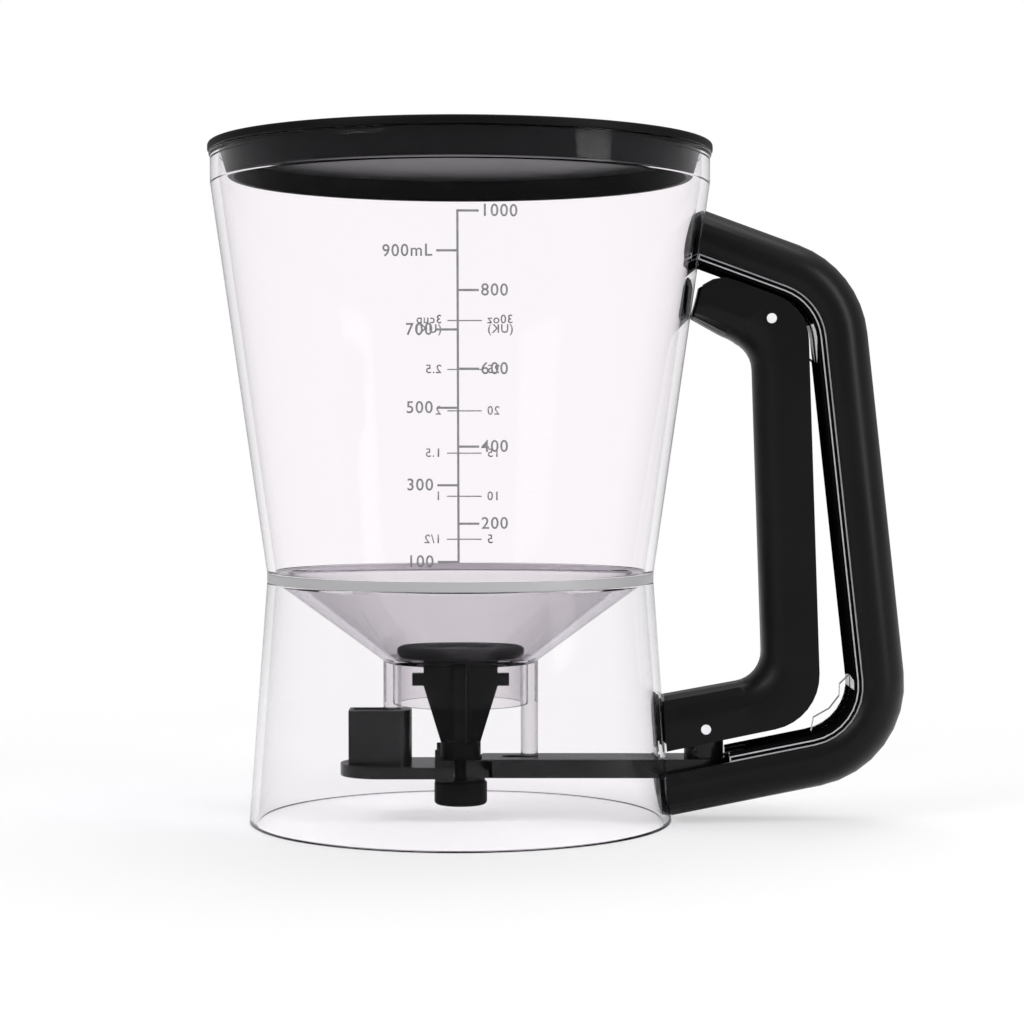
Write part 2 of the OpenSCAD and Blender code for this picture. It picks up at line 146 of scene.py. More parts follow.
def makeClear(name, look):
    grain = grains["clear"]
    made = Finish(name, look["face"], IOR=look["ior"], Transmission_Weight=1.0,
                  Specular_IOR_Level=look["specular"])
    # painted shade: the base colour runs from the face tint to the far darker edge tint as the wall
    # turns away from view, standing in for the dark edges that refraction gives clear plastic
    facing = made.node("ShaderNodeLayerWeight", {}, {"Blend": look["blend"]}, output="Facing")
    flow = made.noise(grain["flow"], 2, grain["stretch"])
    speckle = made.noise(grain["speckle"], 4)
    made.drive(
        Base_Color=made.tint(facing ** look["sharpness"], look["face"], look["edge"]),
        Roughness=made.spread(speckle, *look["rough"], 0.35, 0.7),
        Normal=made.bump(flow, look["wave"], grain["depth"]))
    # light goes through to the pieces inside
    made.giveWay(
        made.node("ShaderNodeLightPath", output="Is Shadow Ray"),
        made.node("ShaderNodeBsdfTransparent", {}, {"Color": (*look["shade"], 1)}))
    return made.material


def makeBlack(name, look):
    made = Finish(name, look["color"], Specular_IOR_Level=look["specular"],
                  Coat_Roughness=look["coatRough"])
    cloud = made.noise(look["cloud"], 3)
    grain = made.noise(look["grain"], 2)
    dust = made.noise(grains["black"]["dust"], 5) * grains["black"]["dustShare"]
    made.drive(
        Base_Color=made.tint(made.spread(cloud, 0, 1, 0.3, 0.7), look["color"], look["worn"]),
        Roughness=made.spread(cloud + dust, *look["rough"], 0.45, 0.95),
        Coat_Weight=made.spread(cloud, look["coat"] * 0.85, look["coat"], 0.3, 0.7),
        Normal=made.bump(grain, look["relief"], grains["black"]["depth"]))
    return made.material


def makeSteel(name, look):
    made = Finish(name, look["color"], Metallic=1.0)
    lines = made.noise(grains["steel"]["lines"], 3, look["along"])
    made.drive(
        Base_Color=made.tint(lines, look["color"], look["dark"]),
        Roughness=made.spread(lines, *look["rough"], 0.3, 0.7),
        Normal=made.bump(lines, grains["steel"]["strength"], grains["steel"]["depth"]))
    return made.material


def makeInk(name, look):
    made = Finish(name, look["color"])
    patchy = made.noise(grains["ink"]["patches"], 4)
    made.drive(
        Base_Color=made.tint(made.spread(patchy, 0, 1, 0.35, 0.75), look["color"], look["thin"]),
        Roughness=made.spread(patchy, *grains["ink"]["rough"]))
    return made.material


clearPlastic = makeClear("clear_plastic", {
    "face": (0.98, 0.96, 0.976), "edge": (0.11, 0.09, 0.12), "shade": (0.93, 0.91, 0.94),
    "ior": 1.12, "specular": 0.5, "blend": 0.35, "sharpness": 8,
    "rough": (0.0, 0.03), "wave": 0.03})
clearStand = makeClear("clear_stand", {
    "face": (0.963, 0.953, 0.962), "edge": (0.14, 0.12, 0.15), "shade": (0.93, 0.91, 0.94),
    "ior": 1.12, "specular": 0.5, "blend": 0.35, "sharpness": 3.8,
    "rough": (0.0, 0.03), "wave": 0.03})
# painted shade: the stand's cut rim is given a dark tint, so it reads as a thin dark line
clearRimShade = makeClear("clear_rim_painted_dark", {
    "face": (0.16, 0.15, 0.165), "edge": (0.08, 0.07, 0.085), "shade": (0.9, 0.88, 0.91),
    "ior": 1.3, "specular": 0.2, "blend": 0.35, "sharpness": 1.5,
    "rough": (0.0, 0.03), "wave": 0.03})
# painted light: the seam between hopper and funnel gets a copy of the clear plastic with a far
# paler edge tint, so it stays pale
clearSeamLit = makeClear("clear_seam_painted_light", {
    "face": (0.9, 0.88, 0.9), "edge": (0.72, 0.7, 0.72), "shade": (0.93, 0.91, 0.94),
    "ior": 1.2, "specular": 0.1, "blend": 0.35, "sharpness": 2.0,
    "rough": (0.0, 0.03), "wave": 0.03})
# painted shade: the funnel's clear plastic is given a greyer tint than the hopper's, for the grey
# shading its cone shows inside the jug
clearInnerShaded = makeClear("clear_inner_painted_shade", {
    "face": (0.865, 0.845, 0.862), "edge": (0.22, 0.19, 0.24), "shade": (0.9, 0.88, 0.91),
    "ior": 1.12, "specular": 0.5, "blend": 0.4, "sharpness": 1.8,
    "rough": (0.01, 0.05), "wave": 0.05})
# the guide legs are solid rods and bend what lies behind them
clearRod = makeClear("clear_rod", {
    "face": (0.74, 0.72, 0.74), "edge": (0.05, 0.045, 0.055), "shade": (0.9, 0.88, 0.91),
    "ior": 1.45, "specular": 0.5, "blend": 0.5, "sharpness": 1.1,
    "rough": (0.0, 0.03), "wave": 0.05})
clearLiner = makeClear("clear_liner", {
    "face": (0.97, 0.97, 0.975), "edge": (0.35, 0.35, 0.37), "shade": (0.9, 0.9, 0.9),
    "ior": 1.42, "specular": 0.3, "blend": 0.42, "sharpness": 1.6,
    "rough": (0.01, 0.05), "wave": 0.06})
# painted shade and highlight: the liner's clear walls, which lie against the grip's black inside,
# are painted black, and their cut edges are painted pale for the light they catch
linerWallShade = makeBlack("liner_wall_painted_dark", {
    "color": (0.003, 0.003, 0.0032), "worn": (0.004, 0.004, 0.0043), "specular": 0.0,
    "coatRough": 0.2, "cloud": 26, "grain": 1900, "rough": (0.6, 0.7), "coat": 0.0,
    "relief": 0.02})
linerEdgeHighlight = makeInk("liner_edge_painted_highlight", {"color": (0.5, 0.5, 0.51), "thin": (0.36, 0.36, 0.37)})
blackGrip = makeBlack("black_grip", {
    "color": (0.004, 0.004, 0.0043), "worn": (0.0055, 0.0055, 0.006), "specular": 0.12,
    "coatRough": 0.2, "cloud": 26, "grain": 1900, "rough": (0.32, 0.4), "coat": 0.02,
    "relief": 0.08})
blackLid = makeBlack("black_lid", {
    "color": (0.004, 0.004, 0.0043), "worn": (0.0055, 0.0055, 0.006), "specular": 0.05,
    "coatRough": 0.3, "cloud": 18, "grain": 1500, "rough": (0.4, 0.48), "coat": 0.01,
    "relief": 0.05})
# painted light: the lid's inside is painted a duller, paler grey than its outside, standing in for
# the pale floor's light it catches
lidInsideLit = makeBlack("lid_inside_painted_light", {
    "color": (0.035, 0.034, 0.036), "worn": (0.045, 0.044, 0.046), "specular": 0.3,
    "coatRough": 0.3, "cloud": 18, "grain": 1500, "rough": (0.3, 0.4), "coat": 0.05,
    "relief": 0.05})
# painted shade: a darker, less reflective copy of the black plastic for the stopper stem and knob,
# which sit in shade inside the clear stand
blackValveShaded = makeBlack("black_valve_painted_shade", {
    "color": (0.0025, 0.0025, 0.0027), "worn": (0.0035, 0.0035, 0.0038), "specular": 0.03,
    "coatRough": 0.25, "cloud": 40, "grain": 2100, "rough": (0.34, 0.44), "coat": 0.005,
    "relief": 0.02})
blackBar = makeBlack("black_bar", {
    "color": (0.004, 0.0038, 0.004), "worn": (0.006, 0.0057, 0.006), "specular": 0.24,
    "coatRough": 0.12, "cloud": 40, "grain": 2100, "rough": (0.2, 0.27), "coat": 0.05,
    "relief": 0.03})
silicone = makeBlack("black_silicone", {
    "color": (0.006, 0.006, 0.0063), "worn": (0.011, 0.011, 0.0115), "specular": 0.2,
    "coatRough": 0.5, "cloud": 60, "grain": 900, "rough": (0.55, 0.7), "coat": 0.0,
    "relief": 0.2})
greyRing = makeBlack("grey_ring", {
    "color": (0.36, 0.355, 0.36), "worn": (0.41, 0.405, 0.41), "specular": 0.45,
    "coatRough": 0.3, "cloud": 22, "grain": 1500, "rough": (0.34, 0.44), "coat": 0.1,
    "relief": 0.15})
# painted light: the ring's inner face is painted far paler than the ring, so it reads light though
# little light reaches it behind the clear walls
ringInsideLit = makeBlack("ring_inside_painted_light", {
    "color": (0.84, 0.835, 0.84), "worn": (0.88, 0.875, 0.88), "specular": 0.3,
    "coatRough": 0.3, "cloud": 22, "grain": 1500, "rough": (0.4, 0.5), "coat": 0.05,
    "relief": 0.1})
pinEnd = makeInk("pin_white", {"color": (0.86, 0.86, 0.86), "thin": (0.78, 0.78, 0.79)})
pinSteel = makeSteel("pin_steel", {
    "color": (0.86, 0.86, 0.87), "dark": (0.68, 0.68, 0.69), "along": (1, 0.1, 1),
    "rough": (0.18, 0.34)})
springSteel = makeSteel("spring_steel", {
    "color": (0.62, 0.63, 0.65), "dark": (0.45, 0.46, 0.48), "along": (0.2, 1, 1),
    "rough": (0.2, 0.36)})
frontInk = makeInk("grey_ink", {"color": (0.17, 0.17, 0.175), "thin": (0.24, 0.24, 0.245)})
backInk = makeInk("pale_ink", {"color": (0.27, 0.27, 0.28), "thin": (0.36, 0.36, 0.37)})
print("finishes made")


# ---- small helpers; lengths are in mm
def deselect():
    if bpy.context.mode != "OBJECT":
        bpy.ops.object.mode_set(mode="OBJECT")
    bpy.ops.object.select_all(action="DESELECT")


def activate(piece):
    deselect()
    piece.select_set(True)
    bpy.context.view_layer.objects.active = piece


def settle(piece):
    activate(piece)
    bpy.ops.object.transform_apply(location=True, rotation=True, scale=True)


def smoothUnder(piece, degrees):
    activate(piece)
    bpy.ops.object.shade_smooth_by_angle(angle=math.radians(degrees))


def joinPieces(pieces):
    activate(pieces[0])
    for piece in pieces[1:]:
        piece.select_set(True)
    bpy.ops.object.join()
    return pieces[0]


# each step is a mesh operator, run with everything selected
def reshape(piece, *steps):
    activate(piece)
    bpy.ops.object.mode_set(mode="EDIT")
    for operator, options in steps:
        bpy.ops.mesh.select_all(action="SELECT")
        operator(**options)
    bpy.ops.object.mode_set(mode="OBJECT")


def change(piece, kind, **settings):
    activate(piece)
    modifier = piece.modifiers.new(kind.lower(), kind)
    for key, value in settings.items():
        setattr(modifier, key, value)
    bpy.ops.object.modifier_apply(modifier=modifier.name)


def cutBox(piece, x0, x1, y0, y1, z0, z1, turn=0):
    deselect()
    bpy.ops.mesh.primitive_cube_add(size=1, rotation=(0, 0, turn))
    cutter = bpy.context.object
    cutter.scale = ((x1 - x0) * mm, (y1 - y0) * mm, (z1 - z0) * mm)
    cutter.location = ((x0 + x1) / 2 * mm, (y0 + y1) / 2 * mm, (z0 + z1) / 2 * mm)
    settle(cutter)
    change(piece, "BOOLEAN", object=cutter, solver="EXACT")
    bpy.data.objects.remove(cutter)


# the faces that pass the test are inset as one patch, once for each (width, depth)
def insetFaces(piece, test, insets):
    activate(piece)
    bpy.ops.object.mode_set(mode="EDIT")
    bpy.ops.mesh.select_mode(type="FACE")
    bpy.ops.mesh.select_all(action="DESELECT")
    bpy.ops.object.mode_set(mode="OBJECT")
    for face in piece.data.polygons:
        face.select = test(face)
    bpy.ops.object.mode_set(mode="EDIT")
    for width, depth in insets:
        bpy.ops.mesh.inset(thickness=width * mm, depth=depth * mm)
    bpy.ops.object.mode_set(mode="OBJECT")


def giveFinish(piece, material):
    piece.data.materials.clear()
    piece.data.materials.append(material)


def paintFaces(piece, finish, test):
    piece.data.materials.append(finish)
    for face in piece.data.polygons:
        if test(face):
            face.material_index = len(piece.data.materials) - 1


def bodyOf(node):
    for body, nodes in frame["record"]["behaviour"]["bodies"].items():
        if node in nodes:
            return body


# ---- skins: a merged, softly shaded twin of a CAD node, by (finish, smoothing degrees)
skins = {
    "funnel": (clearInnerShaded, 8), "handle_liner": (clearLiner, 24),
    "grip_front": (blackGrip, 38), "grip_rear": (blackGrip, 38), "trigger": (blackGrip, 36),
    "slide_bar": (blackBar, 20), "link_post": (blackBar, 20), "stopper_stem": (blackValveShaded, 20),
    "trigger_pin": (pinEnd, 30), "link_pin": (pinEnd, 30)}
skinMerge = 0.004


def dress(node, material, angle):
    twin = frame["nodes"][node].copy()
    twin.data = twin.data.copy()
    twin.name = node + "_skin"
    bpy.context.collection.objects.link(twin)
    activate(twin)
    bpy.ops.mesh.customdata_custom_splitnormals_clear()
    reshape(twin, (bpy.ops.mesh.remove_doubles, {"threshold": skinMerge * mm}))
    smoothUnder(twin, angle)
    giveFinish(twin, material)
    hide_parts(node)
    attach(twin, bodyOf(node))
    return twin


dressed = {node: dress(node, material, angle) for node, (material, angle) in skins.items()}
print("skins made")


# ---- painted shade and highlight: the liner's strip is painted dark, apart from thin pale lines painted along the edges of its sides
liner = {
    "sideY": 8, "cornerY": 9, "wallY": 2.5, "line": 0.34, "middle": Vector((78, 80)),
    "flat": 0.95, "slanted": (0.6, 0.8), "inward": 0.6}


def darkenLiner(piece):
    def isSide(face, low):
        return abs(face.center.y) > low * mm and abs(face.normal.y) > liner["flat"]

    def isEdge(face):
        return not face.select and isSide(face, liner["cornerY"])

    def isWall(face):
        if abs(face.center.y) > liner["cornerY"] * mm:
            low, high = liner["slanted"]
            return face.select or low < abs(face.normal.y) < high
        inward = liner["middle"] - Vector((face.center.x, face.center.z)) / mm
        facing = inward.normalized().dot(Vector((face.normal.x, face.normal.z)))
        reach = max(abs(piece.data.vertices[corner].co.y) for corner in face.vertices)
        return reach > liner["wallY"] * mm and facing > liner["inward"]

    insetFaces(piece, lambda face: isSide(face, liner["sideY"]), [(liner["line"], 0)])
    paintFaces(piece, linerWallShade, isWall)
    paintFaces(piece, linerEdgeHighlight, isEdge)


# ---- painted light: the funnel's flat rim takes the seam's paler copy of clear plastic, and its legs are rods
funnel = {"rimZ": 65.6, "rimUp": 0.9, "legX": 18.2, "legReach": 2.6, "legTop": 45}


def paintFunnel(piece):
    def isRim(face):
        return face.center.z > funnel["rimZ"] * mm and face.normal.z > funnel["rimUp"]

    def isLeg(face):
        aside = Vector((abs(face.center.x) - funnel["legX"] * mm, face.center.y))
        return face.center.z < funnel["legTop"] * mm and aside.length < funnel["legReach"] * mm

    paintFaces(piece, clearSeamLit, isRim)
    paintFaces(piece, clearRod, isLeg)


# ---- the trigger's upper arm narrows towards the jug: (x, height) along old and new edges
triggerArm = {
    "cuts": [60, 61.5, 63, 64.5, 66, 67, 68.1, 69.5, 71, 73, 75], "low": 115,
    "oldTop": [(50, 150.3), (80, 139.32)],
    "oldFoot": [(50, 127.5), (69, 127.05), (72.87, 126.0)],
    "newTop": [(60, 137.5), (61.6, 139.4), (63.4, 141.2), (66, 142.6), (69.2, 143.1),
               (80, 139.32)],
    "newFoot": [(50, 138.7), (61.5, 132.3), (72.87, 126.0)]}


def heightAt(line, x):
    for (x0, z0), (x1, z1) in zip(line, line[1:]):
        if x <= x1:
            return z0 + (z1 - z0) * max(0, x - x0) / (x1 - x0)
    return line[-1][1]


def narrowTrigger(piece):
    reshape(piece, *((bpy.ops.mesh.bisect, {"plane_co": (x * mm, 0, 0), "plane_no": (1, 0, 0)})
                     for x in triggerArm["cuts"]))
    for vertex in piece.data.vertices:
        x, z = vertex.co.x / mm, vertex.co.z / mm
        if z > triggerArm["low"] and x < triggerArm["oldFoot"][-1][0]:
            foot, top, newFoot, newTop = (
                heightAt(triggerArm[line], x)
                for line in ("oldFoot", "oldTop", "newFoot", "newTop"))
            vertex.co.z = (newFoot + (z - foot) * (newTop - newFoot) / (top - foot)) * mm
    piece.data.update()


darkenLiner(dressed["handle_liner"])
paintFunnel(dressed["funnel"])
narrowTrigger(dressed["trigger"])
print("skins changed")


# ---- round pieces: each outline is (radius, height), spun about the pouring axis, and each
# zone is a second material that paints light or shade, with the faces that take it
def facesDown(low, high, up):
    return lambda face: low <= face.center.z / mm <= high and face.normal.z < up


# at the waist's radius this takes in normals within about 66 degrees of the way to the axis
def facesAxis(face):
    return face.center.xy.dot(face.normal.xy) < -20 * mm


turned = {
    "hopper": {
        "finish": clearPlastic, "steps": 180, "round": 0.15, "slot": "clear_plastic",
        "zone": (clearSeamLit, facesDown(65.7, 66.0, -0.3)),
        "outline": [(51, 65.85), (65.6, 168), (65.6, 174.6), (65.95, 175), (65.95, 176),
                    (63.4, 176), (63.4, 168.4), (63.1, 168), (48.8, 65.85)]},
    "base_skirt": {
        "finish": clearStand, "steps": 180, "round": 0.3, "slot": "clear_plastic",
        "zone": (clearRimShade, facesDown(-0.1, 0.3, -0.3)),
        "outline": [(55.8, 0), (51, 63.3), (48.8, 63.3), (53.6, 0)],
        "window": (40, 65, -7.3, 7.3, 11.6, 17.1)},
    "waist_ring": {
        "finish": greyRing, "steps": 180, "round": 0.25, "slot": "grey_plastic",
        "zone": (ringInsideLit, facesAxis),
        "outline": [(51, 63.3), (51, 65.8), (49.8, 65.8), (49.8, 63.3)]},
    "lid": {
        "finish": blackLid, "steps": 180, "round": 0.35, "slot": "black_gloss",
        "zone": (lidInsideLit, facesDown(174, 175.6, -0.9)),
        "outline": [(0, 175), (61.4, 175), (59.2, 169.1), (61, 169.1), (63.2, 176), (66.3, 176),
                    (66.3, 177.7), (65.8, 178.2), (59.8, 178.2), (58.8, 177), (0, 177)]},
    "stopper_disc": {
        "finish": silicone, "steps": 96, "round": 0.35, "slot": "silicone",
        "outline": [(3.05, 44.1), (16, 44.1), (16.8, 45), (16.8, 46.5), (15.6, 47.2),
                    (9.4, 47.2), (8.4, 45.55), (3.05, 45.55)]},
    "stem_knob": {
        "finish": blackValveShaded, "steps": 96, "round": 0.3, "slot": "black_satin",
        "outline": [(0, 4.2), (6.4, 4.2), (7, 4.8), (7, 10.1), (6, 10.8), (1.75, 10.8),
                    (1.75, 6.2), (0, 6.2)]}}
turning = {"merge": 0.002, "segments": 3, "corner": 5}


def turnPiece(node, shape):
    deselect()
    bpy.ops.mesh.primitive_circle_add(
        vertices=len(shape["outline"]), radius=mm, fill_type="NOTHING")
    piece = bpy.context.object
    piece.name = node + "_turned"
    for vertex, (out, up) in zip(piece.data.vertices, shape["outline"]):
        vertex.co = Vector((out, 0, up)) * mm
    reshape(
        piece,
        (bpy.ops.mesh.spin, {"steps": shape["steps"], "angle": 2 * math.pi,
                             "center": (0, 0, 0), "axis": (0, 0, 1)}),
        (bpy.ops.mesh.remove_doubles, {"threshold": turning["merge"] * mm}),
        (bpy.ops.mesh.delete_loose, {"use_verts": True, "use_edges": True, "use_faces": False}),
        (bpy.ops.mesh.normals_make_consistent, {"inside": False}))
    change(piece, "BEVEL", width=shape["round"] * mm, segments=turning["segments"],
           limit_method="ANGLE", angle_limit=math.radians(turning["corner"]))
    if "window" in shape:
        cutBox(piece, *shape["window"])
    bpy.ops.object.shade_smooth()
    # long walls keep their own normals, so clear plastic doesn't act as a lens
    change(piece, "WEIGHTED_NORMAL", weight=100)
    giveFinish(piece, shape["finish"])
    if "zone" in shape:
        paintFaces(piece, *shape["zone"])
    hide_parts(node)
    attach(piece, bodyOf(node))


for node, shape in turned.items():
    turnPiece(node, shape)
print("round pieces turned")


# ---- the bar's cheeks beside the stopper's neck, front and rear, and its upright tabs
cheeks = {
    "wedgeCut": (-11.5, -6.6, -5, 5, 15.2, 20), "round": 0.2,
    "left": {"side": [(-6.6, 11), (-1.6, 11), (-1.6, 16.7), (-5.2, 16.7), (-5.2, 19.5),
                      (-6.6, 19.5)],
             "y": (7.2, 8.6)},
    "right": {"side": [(1.6, 11.9), (8.6, 11.9), (8.6, 16.5), (1.6, 16.5)], "y": (5.6, 7)}}


def makeCheek(side, y0, y1):
    deselect()
    bpy.ops.mesh.primitive_circle_add(vertices=len(side), radius=mm, fill_type="NGON")
    piece = bpy.context.object
    for vertex, (x, z) in zip(piece.data.vertices, side):
        vertex.co = Vector((x, y0, z)) * mm
    across = {"value": (0, (y1 - y0) * mm, 0)}
    reshape(
        piece,
        (bpy.ops.mesh.extrude_region_move, {"TRANSFORM_OT_translate": across}),
        (bpy.ops.mesh.normals_make_consistent, {"inside": False}),
        (bpy.ops.mesh.bevel, {"offset": cheeks["round"] * mm, "segments": 2}))
    return piece


def makeCheeks():
    cutBox(dressed["slide_bar"], *cheeks["wedgeCut"])
    made = []
    for cheek in (cheeks["left"], cheeks["right"]):
        near, far = cheek["y"]
        made += [makeCheek(cheek["side"], near, far), makeCheek(cheek["side"], -far, -near)]
    piece = joinPieces(made)
    piece.name = "bar_cheeks"
    smoothUnder(piece, 30)
    giveFinish(piece, blackBar)
    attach(piece, bodyOf("slide_bar"))


makeCheeks()
print("cheeks added")


# ---- the printed scales, wrapped on the hopper's wall
jug = {"waistR": 51.0, "waistZ": 65.8, "bandR": 65.6, "bandZ": 168.0}
scale = {
    "lineX": 0.55, "lineWidth": 0.55, "lowZ": 70.9, "highZ": 155.5, "low": 100, "high": 1000,
    "named": 900, "tick": 5.1, "textSize": 4.1, "rightGap": 0.45, "leftGap": 0.95}
backScale = {
    "marks": [(135.0, "3cup\n(UK)", "30oz\n(UK)"), (120.9, "2.5", "25"), (109.0, "2", "20"),
              (96.9, "1.5", "15"), (84.6, "1", "10"), (72.4, "1/2", "5")],
    "tick": 5.0, "textSize": 3.5, "lineWidth": 0.34, "gap": 1.6, "drop": 1.1}
ink = {"thickness": 0.06, "lift": 0.02, "letters": 1.13, "rows": 0.78, "bold": 0.04}


def wallRadius(z):
    share = (z - jug["waistZ"]) / (jug["bandZ"] - jug["waistZ"])
    return jug["waistR"] + share * (jug["bandR"] - jug["waistR"])


# side -1 is the front wall and +1 the back wall, where x runs the other way
def wrap(piece, side):
    for vertex in piece.data.vertices:
        across, up = vertex.co.x / mm, vertex.co.y / mm
        radius = wallRadius(up) + ink["lift"] + vertex.co.z / mm
        turn = across / wallRadius(up)
        spot = Vector((-side * radius * math.sin(turn), side * radius * math.cos(turn), up))
        vertex.co = spot * mm
    piece.data.update()


def printText(words, x, z, size, align):
    deselect()
    bpy.ops.object.text_add(location=(0, 0, 0))
    piece = bpy.context.object
    piece.data.body = words
    piece.data.size = size * mm
    piece.data.align_x = align
    piece.data.align_y = "CENTER"
    piece.data.space_line = ink["rows"]
    piece.data.space_character = ink["letters"]
    piece.data.resolution_u = 5
    piece.data.offset = ink["bold"] * mm
    activate(piece)
    bpy.ops.object.convert(target="MESH")
    piece = bpy.context.object
    piece.location = (x * mm, z * mm, 0)
    settle(piece)
    return piece


def printBar(x0, x1, z0, z1, steps=1):
    deselect()
    bpy.ops.mesh.primitive_grid_add(x_subdivisions=1, y_subdivisions=steps, size=1)
    piece = bpy.context.object
    piece.scale = ((x1 - x0) * mm, (z1 - z0) * mm, 1)
    piece.location = ((x0 + x1) / 2 * mm, (z0 + z1) / 2 * mm, 0)
    settle(piece)
    return piece


# a tick that runs sideways from x, to either hand
def printTick(x, length, z, half):
    return printBar(min(x, x + length), max(x, x + length), z - half, z + half)


def printed(parts, name, side, material):
    piece = joinPieces(parts)
    piece.name = name
    change(piece, "SOLIDIFY", thickness=ink["thickness"] * mm, offset=1)
    wrap(piece, side)
    giveFinish(piece, material)
    settle(piece)
    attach(piece, "jug")


def makeFrontScale():
    middle, half = scale["lineX"], scale["lineWidth"] / 2
    low, high, lowZ, highZ = (scale[key] for key in ("low", "high", "lowZ", "highZ"))
    parts = [printBar(middle - half, middle + half, lowZ - half, highZ + half, 40)]
    for amount in range(low, high + 1, 100):
        z = lowZ + (amount - low) / (high - low) * (highZ - lowZ)
        way, gap, align = 1, scale["rightGap"], "LEFT"
        if amount % 200:
            way, gap, align = -1, scale["leftGap"], "RIGHT"
        parts.append(printTick(middle, way * scale["tick"], z, half))
        words = "%dmL" % amount if amount == scale["named"] else str(amount)
        textX = middle + way * (scale["tick"] + gap)
        parts.append(printText(words, textX, z, scale["textSize"], align))
    printed(parts, "front_scale", -1, frontInk)


def makeBackScale():
    half = backScale["lineWidth"] / 2
    textX = backScale["tick"] + backScale["gap"]
    parts = []
    for z, cups, ounces in backScale["marks"]:
        for way, words, align in ((1, cups, "LEFT"), (-1, ounces, "RIGHT")):
            parts.append(printTick(0, way * backScale["tick"], z, half))
            textZ = z - backScale["drop"] if "\n" in words else z
            parts.append(printText(words, way * textX, textZ, backScale["textSize"], align))
    printed(parts, "back_scale", 1, backInk)


makeFrontScale()
makeBackScale()
print("scales printed")


# ---- the return spring, fixed to the jug at one length; the real one shortens as the bar slides
coil = {
    "x0": -28.5, "x1": -20.5, "z": 22.2, "radius": 1.85, "wire": 0.25, "turns": 4.5,
    "slack": 0.05, "sides": 10, "steps": 32, "merge": 0.002}


def makeSpring():
    length = coil["x1"] - coil["x0"] - 2 * (coil["wire"] + coil["slack"])
    wholeTurns = math.ceil(coil["turns"])
    deselect()
    bpy.ops.mesh.primitive_circle_add(
        vertices=coil["sides"], radius=coil["wire"] * mm, fill_type="NOTHING",
        location=(coil["radius"] * mm, 0, 0), rotation=(math.pi / 2, 0, 0))
    piece = bpy.context.object
    piece.name = "spring_coil"
    settle(piece)
    change(piece, "SCREW", angle=2 * math.pi, screw_offset=length / coil["turns"] * mm,
           iterations=wholeTurns, steps=coil["steps"], render_steps=coil["steps"])
    piece.scale.z = coil["turns"] / wholeTurns
    piece.rotation_euler = (0, math.pi / 2, 0)
    piece.location = ((coil["x0"] + coil["wire"] + coil["slack"]) * mm, 0, coil["z"] * mm)
    settle(piece)
    reshape(
        piece,
        (bpy.ops.mesh.remove_doubles, {"threshold": coil["merge"] * mm}),
        (bpy.ops.mesh.fill_holes, {"sides": 16}),
        (bpy.ops.mesh.normals_make_consistent, {"inside": False}))
    smoothUnder(piece, 50)
    giveFinish(piece, springSteel)
    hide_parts("return_spring")
    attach(piece, "jug")
    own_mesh(piece)


makeSpring()
print("spring made")


# ---- screws of the grip: a domed head with a cross recess
gripLine = [(50, 153.6), (94.3, 137.4), (106.9, 23.7), (46, 11.5)]
screws = {
    "at": [(0, 0.62), (1, 0.3), (1, 0.75), (2, 0.35)], "depth": 3.5, "seat": 9.2, "low": -8.5,
    "shaftR": 1.0, "shaftSides": 20, "overlap": 0.2, "headR": 2.15, "headH": 1.5,
    "headSides": 32, "dome": [(0.45, 0.28), (0.6, 0.1)], "cross": (2.5, 0.55),
    "crossZ": (-0.55, 0.95)}


def makeRod(radius, low, high, sides):
    deselect()
    bpy.ops.mesh.primitive_cylinder_add(
        vertices=sides, radius=radius * mm, depth=(high - low) * mm,
        location=(0, 0, (low + high) / 2 * mm))
    return bpy.context.object


def makeScrew(x, z, name):
    seat, top = screws["seat"], screws["seat"] + screws["headH"]
    head = makeRod(screws["headR"], seat, top, screws["headSides"])
    head.name = name
    settle(head)
    insetFaces(head, lambda face: face.normal.z > 0.9, screws["dome"])
    halfLong, halfWide = (size / 2 for size in screws["cross"])
    low, high = (top + end for end in screws["crossZ"])
    for turn in (0, math.pi / 2):
        cutBox(head, -halfLong, halfLong, -halfWide, halfWide, low, high, turn)
    shaft = makeRod(screws["shaftR"], screws["low"], seat + screws["overlap"],
                    screws["shaftSides"])
    joinPieces([head, shaft])
    head.rotation_euler = (-math.pi / 2, 0, 0)
    head.location = (x * mm, 0, z * mm)
    settle(head)
    smoothUnder(head, 30)
    giveFinish(head, pinSteel)
    return head


def makeScrews():
    made = []
    for corner, share in screws["at"]:
        a, b = Vector(gripLine[corner]), Vector(gripLine[corner + 1])
        along = (b - a).normalized()
        spot = a + (b - a) * share + Vector((-along.y, along.x)) * screws["depth"]
        made.append(makeScrew(spot.x, spot.y, "grip_screw_%d" % (len(made) + 1)))
    for piece in made:
        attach(piece, "jug")
    joinPieces(made)
    made[0].name = "grip_screw_set"
    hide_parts("grip_screws")


makeScrews()
print("screws made")


# ---- room: a pale floor that turns to plain white further out, between two distances
room = {
    "floor": (0.9, 0.9, 0.905), "size": 6, "drop": 0.0002, "near": 0.1, "far": 0.34,
    "sky": (0.97, 0.97, 1, 1), "skyPower": 0.42}
white = (1, 1, 1, 1)


# true for what the camera meets itself or through clear plastic, also after one turn inside
# its wall, and not for what comes by way of another surface
def seenStraight(board):
    path = {kind: board.node("ShaderNodeLightPath", output=kind) for kind in (
        "Is Camera Ray", "Is Transmission Ray", "Diffuse Depth", "Glossy Depth",
        "Transmission Depth")}
    clear = path["Is Camera Ray"].larger(path["Is Transmission Ray"])
    direct = (path["Diffuse Depth"] + path["Glossy Depth"]).below(0.5)
    # nine counts of a diffuse bounce rule it out
    inWall = (path["Diffuse Depth"] * 9 + path["Glossy Depth"]
              + path["Transmission Depth"]).below(3.5)
    return clear * direct.larger(inWall)


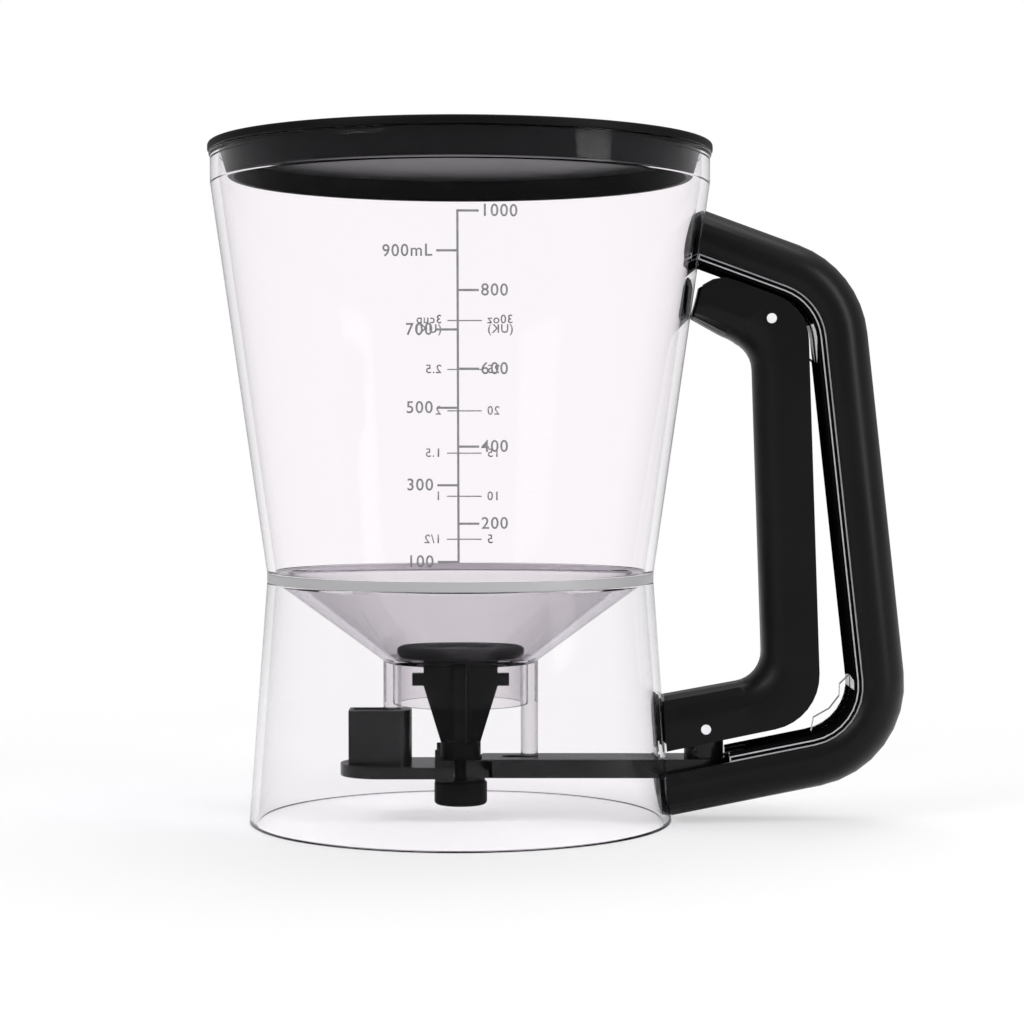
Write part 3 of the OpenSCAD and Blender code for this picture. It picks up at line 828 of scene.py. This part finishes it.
def makeFloor():
    deselect()
    bpy.ops.mesh.primitive_circle_add(
        vertices=96, radius=room["size"], fill_type="NGON", location=(0, 0, -room["drop"]))
    floor = bpy.context.object
    floor.name = "floor"
    made = Finish("floor_white", room["floor"], Specular_IOR_Level=0.2)
    made.drive(Roughness=made.spread(made.noise(40, 2), 0.55, 0.7))
    reach = made.node("ShaderNodeVectorMath", {"operation": "LENGTH"}, {0: made.place()}, output=1)
    made.giveWay(
        made.spread(reach, 0.5, 1, room["near"], room["far"]) * seenStraight(made),
        made.node("ShaderNodeEmission", {}, {"Color": white, "Strength": 1.0}))
    floor.data.materials.append(made.material)


def makeWorld():
    world = bpy.data.worlds.new("studio")
    bpy.context.scene.world = world
    world.use_nodes = True
    sky = Board(world.node_tree)
    plain = sky.node("ShaderNodeBackground", {}, {0: room["sky"], 1: room["skyPower"]})
    bright = sky.node("ShaderNodeBackground", {}, {0: white, 1: 1.0})
    mixed = sky.node("ShaderNodeMixShader", {}, {0: seenStraight(sky), 1: plain, 2: bright})
    out = sky.tree.nodes.new("ShaderNodeOutputWorld")
    sky.tree.links.new(mixed.socket, out.inputs[0])


lamps = {
    "key_left": {"at": (-0.75, -0.75, 0.75), "size": (0.5, 0.9), "power": 7.5},
    "fill_right": {"at": (0.85, -0.45, 0.5), "size": (0.3, 0.9), "power": 6},
    "top": {"at": (0.1, 0.25, 1.0), "size": (0.7, 0.7), "power": 5}}
lampAim = Vector((0.02, 0, 0.09))


def makeLamps():
    for name, lamp in lamps.items():
        light = bpy.data.lights.new(name, "AREA")
        light.shape = "RECTANGLE"
        light.size, light.size_y = lamp["size"]
        light.energy = lamp["power"]
        piece = bpy.data.objects.new(name, light)
        bpy.context.collection.objects.link(piece)
        piece.location = lamp["at"]
        toAim = lampAim - Vector(lamp["at"])
        piece.rotation_euler = toAim.to_track_quat("-Z", "Y").to_euler()


view = {"at": (0.0136, -0.674, 0.1012), "pitch": 1.664, "angle": 22.72}


def makeCamera():
    data = bpy.data.cameras.new("photo_camera")
    data.angle = math.radians(view["angle"])
    data.clip_start = 0.01
    piece = bpy.data.objects.new("photo_camera", data)
    bpy.context.collection.objects.link(piece)
    piece.location = view["at"]
    piece.rotation_euler = (math.radians(90 - view["pitch"]), 0, 0)
    bpy.context.scene.camera = piece


makeFloor()
makeWorld()
makeLamps()
makeCamera()
bpy.context.scene.view_settings.view_transform = "Standard"
print("room lit")
